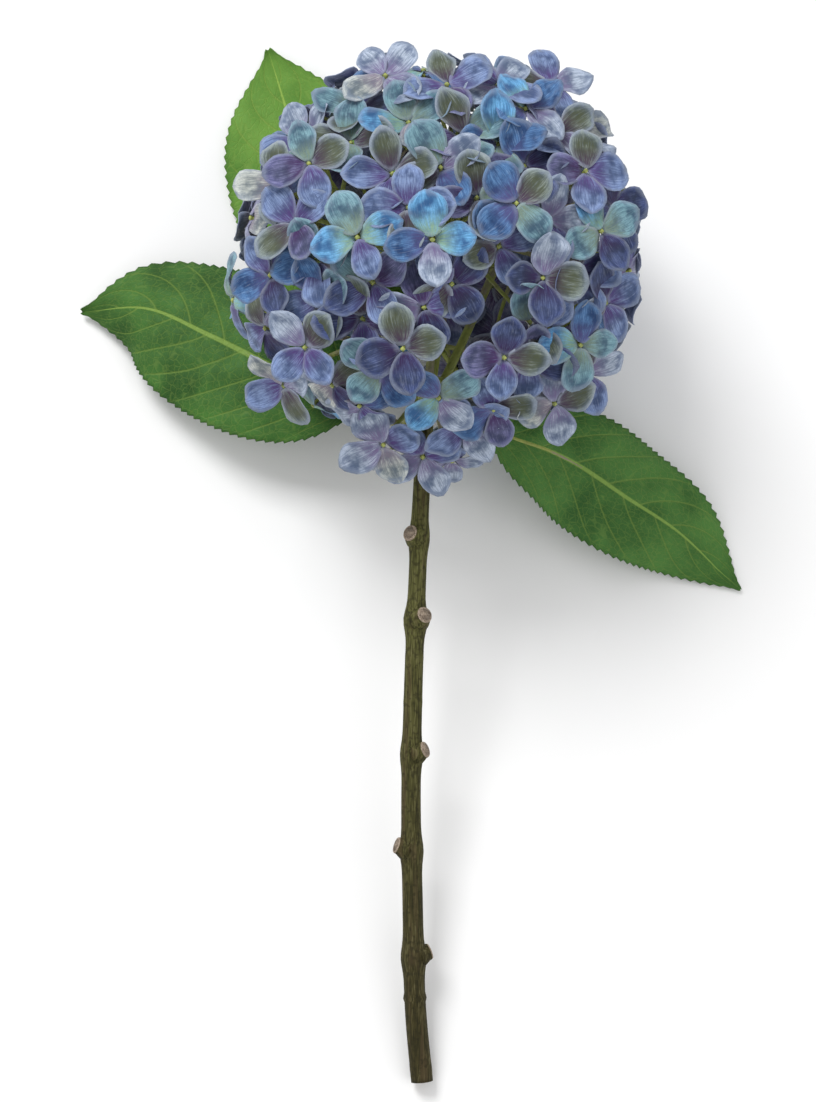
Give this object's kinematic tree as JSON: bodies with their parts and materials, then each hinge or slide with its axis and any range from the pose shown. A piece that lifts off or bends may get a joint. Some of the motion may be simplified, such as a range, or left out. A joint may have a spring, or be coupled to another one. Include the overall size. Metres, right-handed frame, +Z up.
{
  "type": "cut hydrangea",
  "caption": "Cut mophead hydrangea lying on a surface: woody stem with side stubs, broad toothed leaves, and a round head of four-sepalled florets on branching stalks.",
  "frame": {"origin": "middle of the lying flower's footprint, on the surface it lies on", "axes": "+X across the flower, to the right seen from above with the head at the far end; +Y along the stem from the cut end to the head; +Z up from the surface"},
  "size_m": [0.3194, 0.5088, 0.1827],
  "materials": {
    "bark": "fibrous olive-brown bark, dull",
    "branch": "smooth yellow-green living stalk, satin",
    "leaf_fresh": "fresh green leaf with paler veins, satin",
    "leaf_old": "dark green leaf with paler veins, satin",
    "sepal": "matt petal, blue to violet with pale rims and olive middles"
  },
  "bodies": {
    "root": {"stem": "bark", "truss": "branch", "leaf_back": "leaf_fresh", "leaf_left": "leaf_old", "leaf_right": "leaf_old", "cyme_01": "sepal", "cyme_02": "sepal", "cyme_03": "sepal", "cyme_04": "sepal", "cyme_05": "sepal", "cyme_06": "sepal", "cyme_07": "sepal", "cyme_08": "sepal", "cyme_09": "sepal", "cyme_10": "sepal", "cyme_11": "sepal", "cyme_12": "sepal", "cyme_13": "sepal", "cyme_14": "sepal", "cyme_15": "sepal", "cyme_16": "sepal", "cyme_17": "sepal", "cyme_18": "sepal", "cyme_19": "sepal", "cyme_20": "sepal", "cyme_21": "sepal", "cyme_22": "sepal", "cyme_23": "sepal", "cyme_24": "sepal", "cyme_25": "sepal", "cyme_26": "sepal", "cyme_27": "sepal", "cyme_28": "sepal", "cyme_29": "sepal", "cyme_30": "sepal", "cyme_31": "sepal", "cyme_32": "sepal", "cyme_33": "sepal", "cyme_34": "sepal", "cyme_35": "sepal", "cyme_36": "sepal", "cyme_37": "sepal", "cyme_38": "sepal", "cyme_39": "sepal", "cyme_40": "sepal", "cyme_41": "sepal", "cyme_42": "sepal", "cyme_43": "sepal", "cyme_44": "sepal", "cyme_45": "sepal", "cyme_46": "sepal", "cyme_47": "sepal", "cyme_48": "sepal", "cyme_49": "sepal", "cyme_50": "sepal"}
  },
  "joints": []
}
